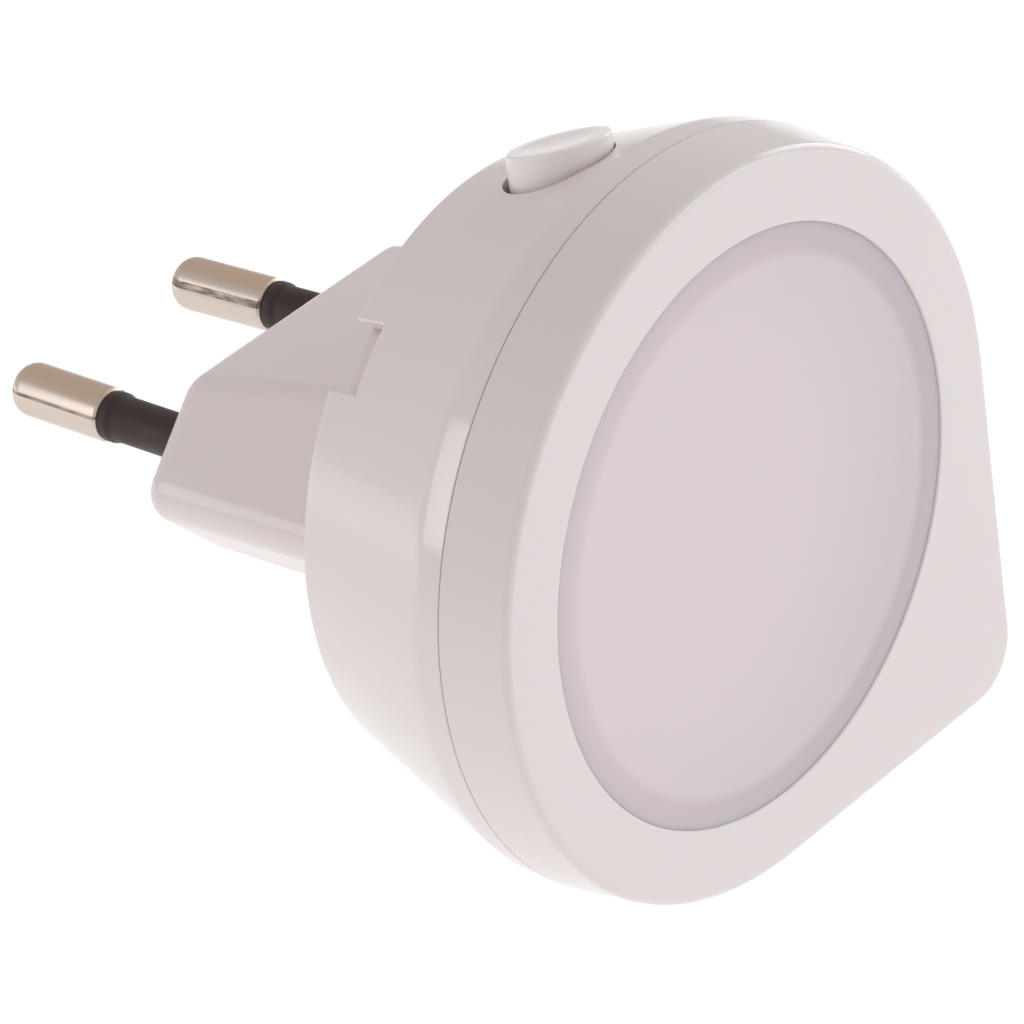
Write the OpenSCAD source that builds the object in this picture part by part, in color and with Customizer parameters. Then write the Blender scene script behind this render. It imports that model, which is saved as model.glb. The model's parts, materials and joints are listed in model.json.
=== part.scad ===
// Plug-in night light: a round housing with one soft square corner, a milky lens on the
// front, a push button on top and a flat mains plug at the back.
// The origin is the centre of the plug's pin face. +X is right seen from the front,
// +Y runs into the wall along the pins, and +Z is up.

/* [Body] */
// Outer radius of the round body at the seam
body_r = 27.25; // [26.5:0.25:30]
// Outer radius of the one square corner
corner_r = 4.5; // [4:0.25:8]
// Distance from the pin face to the flat front face
face_reach = 41.3; // [40.5:0.2:45.5]
// Depth of the front bezel, from its face back to the seam
bezel_depth = 5.5; // [4.5:0.1:7]
// How far the bezel's wall leans in from the seam to the face
bezel_draft = 0.4; // [0.1:0.1:0.8]
// Rounding of the bezel's front edge
face_round = 0.4; // [0.3:0.1:1]
// Thickness of the bezel's side wall at its face
bezel_wall = 1.3; // [1.2:0.1:2]
// Thickness of the bezel's front face
face_wall = 1.6; // [1.2:0.1:2]

/* [Lens] */
// Radius of the round hole that shows the lens
aperture_r = 21.4; // [20:0.2:22]
// Running gap between the lens and the hole
lens_gap = 0.1; // [0.05:0.05:0.2]
// Width of the lens's sloping border
border_w = 2; // [1:0.25:3]
// How far the border falls behind the front face
border_drop = 0.4; // [0.3:0.1:1.2]
// How far the middle of the lens stands proud of the front face
lens_crown = 0.3; // [0.1:0.1:0.6]
// Thickness of the lens
lens_wall = 1.4; // [1:0.1:2]
// How far the hidden flange of the lens reaches behind the bezel
flange_w = 1.1; // [0.8:0.1:1.4]
// Thickness of that flange
flange_t = 1.2; // [0.8:0.1:1.4]
// Number of clips that hold the lens in the bezel
clip_count = 4; // [3:1:6]
// Width of each clip
clip_w = 4; // [3:0.5:6]

/* [Rear housing] */
// Depth of the straight land behind the seam
land_depth = 2.2; // [1.5:0.1:3]
// Outer radius of the rear rim
rim_r = 22.4; // [21.5:0.1:24]
// Depth of the cone, from the land back to the rear rim
cone_depth = 13.7; // [13:0.1:16]
// Thickness of the housing's wall
shell_wall = 1.8; // [1.5:0.1:2]
// Height of the lip that locates the bezel
lip_h = 1.5; // [1:0.1:1.6]
// Thickness of that lip
lip_t = 1.2; // [0.9:0.1:1.4]
// Side clearance of the lip inside the bezel
lip_gap = 0.1; // [0.05:0.05:0.2]
// Width of the prying notch in the rear rim
notch_w = 5.2; // [4:0.2:8]
// Depth of the notch, measured along the pins
notch_d = 3.2; // [2.4:0.2:4]
// Angle of the notch, turned to the left from straight up
notch_turn = 44; // [30:1:60]

/* [Plug] */
// Width of the plug at its pin face
plug_w = 34.2; // [33.6:0.1:36]
// Height of the plug at its pin face
plug_h = 13.7; // [13:0.1:14.4]
// Edge radius round the pin face
plug_edge = 1.5; // [0.8:0.1:2]
// Corner radius of the plug's section
plug_round = 2.4; // [1.6:0.1:3]
// How much taller each half of the plug is where it meets the housing
plug_flare = 2.4; // [1:0.2:3.4]
// How much narrower each half of the plug is where it meets the housing
plug_waist = 0.4; // [0:0.2:2]
// Thickness of the round plate that closes the housing
plate_t = 2; // [1.6:0.2:2.6]
// Gap between that plate and the rear rim
plate_gap = 0.15; // [0.1:0.05:0.3]
// Wall of the hollow plug
plug_wall = 2; // [1.6:0.2:2.6]
// Depth of solid plastic that holds the pins
pin_seat = 6; // [4:0.5:8]

/* [Pins] */
// Diameter of the bare metal tip
pin_d = 4; // [3.9:0.05:4.1]
// Length of a pin beyond the pin face
pin_l = 19; // [18.5:0.25:19.5]
// Length of the insulating sleeve beyond the pin face
sleeve_l = 10; // [9.5:0.25:11]
// Diameter of the insulating sleeve
sleeve_d = 3.4; // [3.2:0.1:3.5]
// How far the bead at the sleeve's free end stands out all round
bead_t = 0.1; // [0.04:0.02:0.12]
// Length of that bead
bead_l = 1.3; // [1:0.1:2]
// Diameter of the metal inside the sleeve
core_d = 2.8; // [2.4:0.1:3]
// Distance between the pins at the pin face
pin_pitch = 18.6; // [18:0.1:19.2]
// Distance between the pins at their tips
tip_pitch = 17.5; // [17:0.1:18]
// Rounding of the pin's end
tip_round = 1.4; // [1:0.1:1.8]
// How far a pin reaches into the hollow plug
pin_tail = 3; // [2:0.5:5]

/* [Button] */
// Diameter of the button cap
cap_d = 7.4; // [6:0.2:8]
// Distance from the seam back to the button's centre line
cap_drop = 7.9; // [7.5:0.1:8.5]
// How far the cap stands out of the housing
cap_rise = 1.6; // [1.6:0.1:2.4]
// Radial gap between the cap and its hole
cap_gap = 0.4; // [0.3:0.05:0.6]
// Travel of the button from off to on
cap_travel = 1.4; // [1:0.1:1.5]
// Turn of the round cap in its hole, which turns its sloping top
cap_turn = 25; // [0:5:40]
// Depth of the finger dish round the button
dish_d = 0.35; // [0.1:0.05:0.5]
// Radius of the ball that would press that dish
dish_ball = 50; // [30:5:80]

/* [Electronics] */
// Gap between the circuit board's edge and the lip it passes through
board_gap = 0.9; // [0.6:0.1:2]
// Thickness of the circuit board
board_t = 1.2; // [0.8:0.2:1.6]
// Distance from the seam back to the board's front face
board_drop = 1.8; // [1:0.2:2.4]
// Number of light-emitting diodes
led_count = 6; // [4:1:8]
// Radius of the ring of diodes
led_ring = 9.5; // [9:0.25:10.5]
// Diameter of the posts under the board
post_d = 5; // [4:0.5:6]
// Distance from the board's edge in to the centre of each post
post_inset = 3.8; // [3.4:0.1:4.2]
// Shank diameter of the board's screws
screw_d = 2; // [1.8:0.1:2.4]
// Head diameter of the board's screws
head_d = 4; // [3.6:0.1:4.6]
// Width and depth of the push switch
switch_w = 8.4; // [7.6:0.2:9]
// Height of the push switch
switch_h = 9; // [8:0.5:10]
// Gap between the dropper capacitor and the plug's plate
film_gap = 1.1; // [0.6:0.1:3]
// Gap between the smoothing capacitor and the plug's plate
can_gap = 1.6; // [0.6:0.1:4]
// Distance between the chip resistors
chip_pitch = 4; // [3:0.25:5]
// Outer diameter of the lead wires
wire_d = 1.4; // [1:0.1:1.8]

/* [Hidden] */
$fn = 96;

skin = 0.01;                // thickness of the slices that a hull joins
over = 1;                   // how far a cutter runs past what it cuts
hull_fn = 72;               // sides of a full circle inside a hull

seam = face_reach - bezel_depth;
face_in = face_reach - face_wall;
cone_start = seam - land_depth;
rim_reach = cone_start - cone_depth;
face_r = body_r - bezel_draft;
face_corner = corner_r - bezel_draft;
pocket_r = face_r - bezel_wall;
pocket_corner = corner_r - bezel_wall;
lip_r = pocket_r - lip_gap;
lip_root = 1.6;             // depth of the thicker band that carries the lip

lens_r = aperture_r - lens_gap;
flange_r = lens_r + flange_w;
flange_back = face_in - flange_t;
clip_gap = 0.1;             // clearance of a clip round the lens flange
clip_t = 1.2;               // radial thickness of a clip
clip_nib = 0.7;             // how far its nib hooks behind the flange
clip_end = 0.6;             // thickness of the nib

cone_rise = (body_r - rim_r) / cone_depth;
cone_angle = atan(cone_rise);
rim_in = rim_r - shell_wall;
plate_r = rim_in - plate_gap;
plate_front = rim_reach + plate_t;
seat_t = 1.5;               // thickness of the seat behind which the plate lies
seat_w = 1;                 // how far the seat reaches in past the plate's edge

function cone_r(z) = rim_r + (z - rim_reach) * cone_rise;
function inner_r(z) = cone_r(z) - shell_wall;

pin_lean = atan((pin_pitch - tip_pitch) / 2 / pin_l);
sleeve_seat = 1.5;          // how far the sleeve reaches into the plug
witness_d = 4.2;            // shallow ring round each pin in the pin face
witness_t = 0.5;

board_front = seam - board_drop;
board_back = board_front - board_t;
board_r = lip_r - lip_t - board_gap;
post_reach = board_r - post_inset;
rib_t = 1.4;                // thickness of the rib that ties each post to the wall
inside_h = board_back - plate_front;

cap_reach = seam - cap_drop;
cap_surface = cone_r(cap_reach);
cap_top = cap_surface + cap_rise;
collar_t = 0.9;             // wall of the button's guide collar
collar_l = 6;               // length of the collar under the housing's surface
collar_end = cap_surface - collar_l;
cap_flange_w = 0.7;         // how far the cap's hidden flange reaches out
cap_flange_t = 0.9;
stop_gap = 0.3;             // gap between the cap's flange and the collar at rest
cap_base = collar_end - stop_gap - cap_flange_t;
cap_edge = 0.35;            // width of the bevel round the top of the cap
collar_r = cap_d / 2 + cap_gap + collar_t;
bay_gap = 0.4;              // gap round the collar and the cap in the board's bay
bay_floor = cap_base - cap_travel - bay_gap;
stem_w = 3.2;               // side of the plunger's square stem
stem_grip = 3.5;            // length of stem inside the cap
slide_gap = 0.15;           // clearance of the plunger in the switch

switch_top = cap_base - cap_travel - 0.6;
switch_base = switch_top - switch_h;
switch_wall = 1.1;
switch_half = switch_w / 2;
chamber_half = switch_half - switch_wall;
shoulder_top = switch_top - switch_wall - slide_gap;
shoulder_h = 1.6;
contact_t = 0.3;
contact_w = 2.4;
spring_r = 1.7;
spring_wire = 0.4;
spring_turns = 4.5;
terminal_w = 0.8;
terminal_t = 0.4;
terminal_pitch = 2.5;
solder_h = 0.7;             // how far a lead stands out of the front of the board

head_h = 1.3;
pilot_l = 7;
board_hole_d = screw_d + 0.3;

led_size = [3.5, 2.8, 0.8];
led_cup = [1.6, 2.4];       // diameters of a diode's cup at its floor and at its rim
led_phase = 30;             // turn of the first diode from the right
chip_size = [2, 1.25, 0.5];
film_size = [13, 6, inside_h - film_gap];
film_place = [0, -12.5];
film_lead = 10;             // distance between its leads
film_edge = 0.4;
can_d = 6.3;                // smoothing capacitor
can_h = inside_h - can_gap;
can_place = [12, -7];
can_lead = 2.5;
can_groove = 0.3;
groove_drop = 2;            // distance from the can's foot to the middle of its groove
groove_w = 0.8;
lead_d = 0.6;
bridge_size = [4.7, 3.9, 2.5];
bridge_place = [-12.5, -7];
bridge_foot = [0.7, 1.2, 0.3];
bridge_pitch = 2.5;
fusible_place = [-12.5, 6];
fusible_size = [3.4, 9];    // diameter and length
discharge_place = [12.5, 6.5];
discharge_size = [2.4, 6.3];
resistor_lift = 0.5;        // gap between a resistor and the board
bend_out = 1;               // how far a resistor's lead runs out before it turns

wire_shift = 5;             // height of each wire's end on the board
wire_reach = 8;             // distance of each wire's end from the centre line
wire_rise = [0, 0, 0.12, 0.32, 0.6, 0.84, 1, 1];
wire_run = [0, 0.06, 0.17, 0.33, 0.54, 0.75, 0.875, 1];

// Everything inside facing() is drawn with x to the right, y up and z towards the viewer.
module facing() {
  rotate([90, 0, 0]) children();
}

// Front outline: a circle with one square corner at the lower right.
module outline(r, c) {
  circle(r);
  translate([0, -r]) square([r - c, r]);
  translate([0, c - r]) square([r, r - c]);
  translate([r - c, c - r]) circle(c);
}

module slice(z) {
  translate([0, 0, z]) linear_extrude(skin) children();
}

module bezel_form() {
  steps = [0, 30, 60, 90];
  hull() {
    slice(seam) outline(body_r, corner_r, $fn = hull_fn);
    for (a = steps) {
      inset = face_round * (1 - cos(a));
      slice(face_reach - face_round + face_round * sin(a) - skin)
        outline(face_r - inset, face_corner - inset, $fn = hull_fn);
    }
  }
}

module lens_clip() {
  post_r = flange_r + clip_gap;
  nib_z = flange_back - clip_gap - clip_end;
  translate([post_r, -clip_w / 2, nib_z]) cube([clip_t, clip_w, face_in - nib_z]);
  translate([post_r - clip_nib, -clip_w / 2, nib_z]) cube([clip_nib + clip_t, clip_w, clip_end]);
}

module front_bezel() {
  color([0.87, 0.85, 0.84]) facing() {
    difference() {
      bezel_form();
      translate([0, 0, seam - over])
        linear_extrude(face_in - seam + over) outline(pocket_r, pocket_corner);
      translate([0, 0, face_in - over]) cylinder(r = aperture_r, h = face_wall + 2 * over);
    }
    for (i = [0:clip_count - 1]) rotate(45 + i * 360 / clip_count) lens_clip();
  }
}

module diffuser_lens() {
  steps = 6;
  plateau_r = lens_r - border_w;
  lens_back = face_reach - border_drop;
  crown = [for (i = [0:steps])
    let (r = plateau_r * i / steps)
    [r, face_reach + lens_crown * (1 - pow(i / steps, 2))]];
  shoulder = [for (i = [1:steps])
    let (a = 90 * i / steps)
    [plateau_r + border_w * sin(a), lens_back + border_drop * cos(a)]];
  back = [
    [lens_r, face_in], [flange_r, face_in], [flange_r, flange_back],
    [plateau_r - lens_wall, flange_back], [plateau_r - lens_wall, face_reach - lens_wall],
    [0, face_reach - lens_wall]
  ];
  color([0.88, 0.83, 0.86]) facing()
    rotate_extrude() polygon(concat(crown, shoulder, back));
}

// The housing's outside, drawn in by inset and longer by extra at each end.
module housing_form(inset, extra) {
  hull() {
    translate([0, 0, seam + extra]) mirror([0, 0, 1])
      linear_extrude(land_depth + extra) outline(body_r - inset, corner_r - inset, $fn = hull_fn);
    slice(rim_reach - extra) circle(cone_r(rim_reach - extra) - inset, $fn = hull_fn);
  }
}

module housing_shell() {
  difference() {
    housing_form(0, 0);
    housing_form(shell_wall, over);
  }
}

// The lip stands on a thicker band inside the wall.
module housing_lip() {
  root_r = body_r - shell_wall / 2;
  root_corner = corner_r - shell_wall / 2;
  difference() {
    union() {
      translate([0, 0, seam - lip_root]) linear_extrude(lip_root) outline(root_r, root_corner);
      translate([0, 0, seam - over])
        linear_extrude(lip_h + over) outline(lip_r, pocket_corner - lip_gap);
    }
    translate([0, 0, seam - lip_root - over]) linear_extrude(lip_root + lip_h + 2 * over)
      outline(lip_r - lip_t, pocket_corner - lip_gap - lip_t);
  }
}

module housing_posts() {
  for (side = [-1, 1]) {
    translate([side * post_reach, 0, plate_front]) cylinder(d = post_d, h = inside_h);
    translate([side * (post_reach + body_r) / 2, 0, plate_front + inside_h / 2])
      cube([body_r - post_reach, rib_t, inside_h], center = true);
  }
}

module housing_inside() {
  translate([0, 0, plate_front]) difference() {
    cylinder(r = inner_r(plate_front) + shell_wall / 2, h = seat_t);
    translate([0, 0, -over]) cylinder(r = plate_r - seat_w, h = seat_t + 2 * over);
  }
  difference() {
    housing_posts();
    for (side = [-1, 1]) translate([side * post_reach, 0, board_back - pilot_l])
      cylinder(d = screw_d, h = pilot_l + over);
  }
  translate([0, collar_end, cap_reach]) rotate([-90, 0, 0])
    cylinder(r = collar_r, h = collar_l - dish_d);
}

module rear_housing() {
  color([0.84, 0.81, 0.80]) facing() difference() {
    union() {
      housing_shell();
      intersection() {
        housing_form(shell_wall / 2, 0);
        housing_inside();
      }
      housing_lip();
    }
    translate([0, collar_end - over, cap_reach]) rotate([-90, 0, 0])
      cylinder(d = cap_d + 2 * cap_gap, h = body_r - collar_end + 2 * over);
    translate([0, cap_surface, cap_reach]) rotate([-cone_angle, 0, 0])
      translate([0, dish_ball - dish_d, 0]) sphere(dish_ball);
    rotate(notch_turn) translate([-notch_w / 2, rim_in, rim_reach - over])
      cube([notch_w, shell_wall * 3, notch_d + over]);
  }
}

// The six round corners of the plug's section, a flat hexagon; a hull joins them.
module plug_section(half_w, half_h, r) {
  for (side = [-1, 1]) translate([side * (half_w - r), 0]) circle(r, $fn = 32);
  for (side = [-1, 1], up = [-1, 1])
    translate([side * (half_w - half_h), up * (half_h - r)]) circle(r, $fn = 32);
}

module plug_form() {
  half_w = plug_w / 2;
  half_h = plug_h / 2;
  hull() {
    for (a = [0, 45, 90]) {
      inset = plug_edge * (1 - sin(a));
      slice(plug_edge * (1 - cos(a)))
        plug_section(half_w - inset, half_h - inset, plug_round);
    }
    slice(rim_reach + plate_t / 2)
      plug_section(half_w - plug_waist, half_h + plug_flare, plug_round);
  }
}

module plug_hollow() {
  half_w = plug_w / 2 - plug_wall;
  half_h = plug_h / 2 - plug_wall;
  hull() {
    slice(pin_seat) plug_section(half_w - 1, half_h, 1);
    slice(plate_front + skin)
      plug_section(half_w - plug_waist, half_h + plug_flare, plug_round);
  }
}

module at_pin(side) {
  translate([side * pin_pitch / 2, 0, 0]) rotate([0, side * pin_lean, 0]) children();
}

module plug_insert() {
  color([0.84, 0.82, 0.81]) facing() difference() {
    union() {
      plug_form();
      translate([0, 0, rim_reach]) cylinder(r = plate_r, h = plate_t);
    }
    plug_hollow();
    for (side = [-1, 1]) at_pin(side) {
      translate([0, 0, -over]) cylinder(d = sleeve_d, h = sleeve_seat + over);
      cylinder(d = core_d, h = pin_seat + over);
      translate([0, 0, -over]) cylinder(d = witness_d, h = witness_t + over);
    }
  }
}

module pin(side) {
  tip_l = pin_l - sleeve_l;
  color([0.78, 0.73, 0.68]) facing() at_pin(side) {
    translate([0, 0, -sleeve_l]) rotate([180, 0, 0]) rotate_extrude() {
      square([pin_d / 2, tip_l - tip_round]);
      square([pin_d / 2 - tip_round, tip_l]);
      translate([pin_d / 2 - tip_round, tip_l - tip_round]) intersection() {
        circle(tip_round);
        square(tip_round);
      }
    }
    translate([0, 0, -sleeve_l]) cylinder(d = core_d, h = sleeve_l + pin_seat + pin_tail);
  }
}

module pin_left() { pin(-1); }
module pin_right() { pin(1); }

// The bead ends in a taper, which is a third of its length.
module sleeve(side) {
  core = core_d / 2;
  outer = sleeve_d / 2;
  color([0.22, 0.18, 0.19]) facing() at_pin(side) rotate_extrude() polygon([
    [core, -sleeve_l], [outer + bead_t, -sleeve_l],
    [outer + bead_t, bead_l * 2 / 3 - sleeve_l], [outer, bead_l - sleeve_l],
    [outer, sleeve_seat], [core, sleeve_seat]
  ]);
}

module sleeve_left() { sleeve(-1); }
module sleeve_right() { sleeve(1); }

// Half-space over the cap's sloping top, which follows the housing's cone.
module over_cap(drop) {
  translate([0, cap_top - drop, cap_reach]) rotate([0, -cap_turn, 0]) rotate([-cone_angle, 0, 0])
    translate([-cap_d, 0, -cap_d]) cube([2 * cap_d, cap_d, 2 * cap_d]);
}

module cap_bar(r, y0, y1) {
  translate([0, y0, cap_reach]) rotate([-90, 0, 0]) cylinder(r = r, h = y1 - y0);
}

module button_cap() {
  color([0.88, 0.86, 0.85]) facing() difference() {
    union() {
      difference() {
        cap_bar(cap_d / 2 - cap_edge, cap_base, cap_top + cap_d / 2);
        over_cap(0);
      }
      difference() {
        cap_bar(cap_d / 2, cap_base, cap_top + cap_d / 2);
        over_cap(cap_edge);
      }
      cap_bar(cap_d / 2 + cap_flange_w, cap_base, cap_base + cap_flange_t);
    }
    translate([-stem_w / 2, cap_base - over, cap_reach - stem_w / 2])
      cube([stem_w, stem_grip + over, stem_w]);
  }
}

module switch_plunger() {
  wide = 2 * (chamber_half - slide_gap - contact_t);
  color([0.93, 0.93, 0.92]) facing() translate([0, 0, cap_reach]) {
    translate([-stem_w / 2, shoulder_top - shoulder_h, -stem_w / 2])
      cube([stem_w, cap_base + stem_grip - shoulder_top + shoulder_h, stem_w]);
    translate([-wide / 2, shoulder_top - shoulder_h, -wide / 2])
      cube([wide, shoulder_h, wide]);
  }
}

module switch_contact() {
  reach = chamber_half - slide_gap - contact_t;
  color([0.80, 0.66, 0.40]) facing() translate([0, shoulder_top - shoulder_h, cap_reach])
    for (side = [-1, 1]) translate([side * (reach + contact_t / 2), 0, 0])
      translate([-contact_t / 2, 0, -contact_w / 2]) cube([contact_t, shoulder_h, contact_w]);
}

// A round tube swept through a list of points.
function unit(v) = v / norm(v);
function heading(p, i) = unit(p[min(i + 1, len(p) - 1)] - p[max(i - 1, 0)]);
module tube(points, r, sides) {
  rings = [for (i = [0:len(points) - 1])
    let (t = heading(points, i), side = unit(cross([0.3, 1, 0.1], t)), up = cross(t, side))
    for (k = [0:sides - 1])
      points[i] + r * (cos(360 * k / sides) * side + sin(360 * k / sides) * up)];
  last = (len(points) - 1) * sides;
  faces = concat(
    [[for (k = [sides - 1:-1:0]) k]],
    [[for (k = [0:sides - 1]) last + k]],
    [for (i = [0:len(points) - 2], k = [0:sides - 1])
      let (a = i * sides + k, b = i * sides + (k + 1) % sides)
      [a, b, b + sides, a + sides]]);
  polyhedron(points = rings, faces = [for (f = faces) [for (k = [len(f) - 1:-1:0]) f[k]]]);
}

module switch_spring() {
  floor_y = switch_base + switch_wall;
  spring_h = shoulder_top - shoulder_h - floor_y;
  rise = spring_h - 1.1 * spring_wire;
  steps = 12 * spring_turns;
  coil = [for (i = [0:steps])
    let (a = 360 * spring_turns * i / steps)
    [spring_r * cos(a), floor_y + 0.55 * spring_wire + rise * i / steps, spring_r * sin(a)]];
  color([0.75, 0.76, 0.78]) facing() translate([0, 0, cap_reach])
    tube(coil, spring_wire / 2, 6);
}

module terminal_grid() {
  for (side = [-1, 1], i = [-1, 0, 1])
    translate([side * terminal_pitch, (switch_top + switch_base) / 2 + i * terminal_pitch, 0])
      children();
}

module switch_body() {
  mid = (switch_top + switch_base) / 2;
  color([0.15, 0.15, 0.16]) facing() difference() {
    translate([-switch_half, switch_base, cap_reach - switch_half])
      cube([switch_w, switch_h, switch_half + board_back - cap_reach]);
    translate([-chamber_half, switch_base + switch_wall, cap_reach - chamber_half])
      cube([2 * chamber_half, switch_h - 2 * switch_wall, 2 * chamber_half]);
    translate([0, switch_top - switch_wall - over, cap_reach])
      translate([-stem_w / 2 - slide_gap, 0, -stem_w / 2 - slide_gap])
        cube([stem_w + 2 * slide_gap, switch_wall + 2 * over, stem_w + 2 * slide_gap]);
    translate([-switch_half - over, mid - 1, board_back - 0.6]) cube([switch_w + 2 * over, 2, over]);
    terminal_grid() translate([-terminal_w / 2, -terminal_t / 2, cap_reach + chamber_half])
      cube([terminal_w, terminal_t, switch_w]);
  }
}

module switch_terminals() {
  start = cap_reach + chamber_half;
  color([0.82, 0.80, 0.76]) facing() terminal_grid()
    translate([-terminal_w / 2, -terminal_t / 2, start])
      cube([terminal_w, terminal_t, board_front + solder_h - start]);
}

module led_places() {
  for (i = [0:led_count - 1]) rotate(led_phase + i * 360 / led_count)
    translate([led_ring, 0, board_front]) children();
}

module led_board() {
  color([0.93, 0.93, 0.90]) facing() difference() {
    translate([0, 0, board_back]) cylinder(r = board_r, h = board_t);
    for (side = [-1, 1]) translate([side * post_reach, 0, board_back - over])
      cylinder(d = board_hole_d, h = board_t + 2 * over);
    terminal_grid() translate([-terminal_w / 2, -terminal_t / 2, board_back - over])
      cube([terminal_w, terminal_t, board_t + 2 * over]);
    leads_through();
    translate([-collar_r - bay_gap, bay_floor, board_back - over])
      cube([2 * (collar_r + bay_gap), body_r, board_t + 2 * over]);
  }
}

// The holes for all round leads, at the same places as the leads.
module leads_through() {
  for (place = lead_places()) translate([place[0], place[1], board_back - over])
    cylinder(d = lead_d, h = board_t + 2 * over);
}

function lead_places() = [
  film_place + [film_lead / 2, 0], film_place - [film_lead / 2, 0],
  can_place + [can_lead / 2, 0], can_place - [can_lead / 2, 0],
  fusible_place + [0, fusible_size[1] / 2 + bend_out],
  fusible_place - [0, fusible_size[1] / 2 + bend_out],
  discharge_place + [0, discharge_size[1] / 2 + bend_out],
  discharge_place - [0, discharge_size[1] / 2 + bend_out]
];

module leds() {
  color([0.95, 0.90, 0.55]) facing() led_places()
    translate([-led_size[0] / 2, -led_size[1] / 2, 0]) difference() {
      cube(led_size);
      translate([led_size[0] / 2, led_size[1] / 2, led_size[2] / 2])
        cylinder(d1 = led_cup[0], d2 = led_cup[1], h = led_size[2]);
    }
}

module lead(place, start) {
  translate([place[0], place[1], start])
    cylinder(d = lead_d, h = board_front + solder_h - start);
}

module dropper_capacitor() {
  color([0.85, 0.65, 0.20]) facing() {
    translate([film_place[0], film_place[1], board_back - film_size[2]]) difference() {
      translate([-film_size[0] / 2, -film_size[1] / 2, 0]) cube(film_size);
      translate([-film_size[0] / 2 + film_edge, -film_size[1] / 2 + film_edge, film_size[2] - film_edge])
        cube([film_size[0] - 2 * film_edge, film_size[1] - 2 * film_edge, film_size[2]]);
    }
    for (side = [-1, 1])
      lead(film_place + [side * film_lead / 2, 0], board_back - film_size[2] / 2);
  }
}

module smoothing_capacitor() {
  color([0.16, 0.20, 0.32]) facing() {
    translate([can_place[0], can_place[1], board_back - can_h]) rotate_extrude()
      difference() {
        square([can_d / 2, can_h]);
        translate([can_d / 2 - can_groove, can_h - groove_drop - groove_w / 2])
          square([can_groove + over, groove_w]);
      }
    for (side = [-1, 1]) lead(can_place + [side * can_lead / 2, 0], board_back - can_h / 2);
  }
}

module bridge_rectifier() {
  color([0.12, 0.12, 0.13]) facing()
    translate([bridge_place[0], bridge_place[1], board_back]) {
      translate([-bridge_size[0] / 2, -bridge_size[1] / 2, -bridge_size[2]])
        cube([bridge_size[0], bridge_size[1], bridge_size[2] - 0.1]);
      for (i = [-1, 1], up = [-1, 1])
        translate([i * bridge_pitch / 2, up * (bridge_size[1] + bridge_foot[1]) / 2, 0])
          translate([-bridge_foot[0] / 2, -bridge_foot[1] / 2 - 0.2, -bridge_foot[2]])
            cube([bridge_foot[0], bridge_foot[1] + 0.4, bridge_foot[2]]);
    }
}

// An axial resistor that lies along y under the board, with both leads bent into it.
module axial_resistor(place, size) {
  axis_z = board_back - resistor_lift - size[0] / 2;
  run = size[1] / 2 + bend_out;
  translate([place[0], place[1] - size[1] / 2, axis_z]) rotate([-90, 0, 0])
    cylinder(d = size[0], h = size[1]);
  translate([place[0], place[1] - run, axis_z]) rotate([-90, 0, 0])
    cylinder(d = lead_d, h = 2 * run);
  for (up = [-1, 1]) {
    translate([place[0], place[1] + up * run, axis_z]) sphere(d = lead_d);
    lead(place + [0, up * run], axis_z);
  }
}

module fusible_resistor() {
  color([0.55, 0.62, 0.50]) facing() axial_resistor(fusible_place, fusible_size);
}

module discharge_resistor() {
  color([0.45, 0.65, 0.80]) facing() axial_resistor(discharge_place, discharge_size);
}

module chip_resistors() {
  color([0.14, 0.14, 0.15]) facing() for (x = [-1, 0, 1])
    translate([x * chip_pitch - chip_size[0] / 2, -chip_size[1] / 2, board_front])
      cube(chip_size);
}

// A lead wire from a pin's tail to the back of the board.
module wire(side) {
  tail = pin_seat + pin_tail;
  tail_x = pin_pitch / 2 + tail * sin(pin_lean);
  route = [for (i = [0:len(wire_run) - 1])
    [side * (tail_x + (wire_reach - tail_x) * wire_rise[i]), wire_shift * wire_rise[i],
     tail + (board_back - tail) * wire_run[i]]];
  facing() tube(route, wire_d / 2, 8);
}

module wire_left() { color([0.70, 0.20, 0.15]) wire(-1); }
module wire_right() { color([0.20, 0.25, 0.60]) wire(1); }

module board_screws() {
  color([0.75, 0.76, 0.78]) facing() for (side = [-1, 1])
    translate([side * post_reach, 0, 0]) difference() {
      union() {
        translate([0, 0, board_front]) cylinder(d = head_d, h = head_h);
        translate([0, 0, board_back - pilot_l]) cylinder(d = screw_d, h = pilot_l + board_t);
      }
      for (a = [0, 90]) rotate(a) translate([-head_d / 3, -0.3, board_front + head_h / 2])
        cube([2 * head_d / 3, 0.6, head_h]);
    }
}

front_bezel();
diffuser_lens();
rear_housing();
plug_insert();
pin_left();
pin_right();
sleeve_left();
sleeve_right();
button_cap();
switch_plunger();
switch_contact();
switch_spring();
switch_body();
switch_terminals();
led_board();
leds();
dropper_capacitor();
smoothing_capacitor();
bridge_rectifier();
fusible_resistor();
discharge_resistor();
chip_resistors();
wire_left();
wire_right();
board_screws();
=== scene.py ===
# %% [markdown]
# A plug-in night light, dressed for its portrait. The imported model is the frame: it says
# where every piece sits, in metres, and this lesson builds the smooth visible pieces round
# it. +X is right seen from the front, +Y runs into the wall along the pins, +Z is up, and
# the origin is the middle of the face that carries the pins.

# %% Load the frame
import bpy
import bmesh
import json
import math
from mathutils import Matrix, Vector

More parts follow.
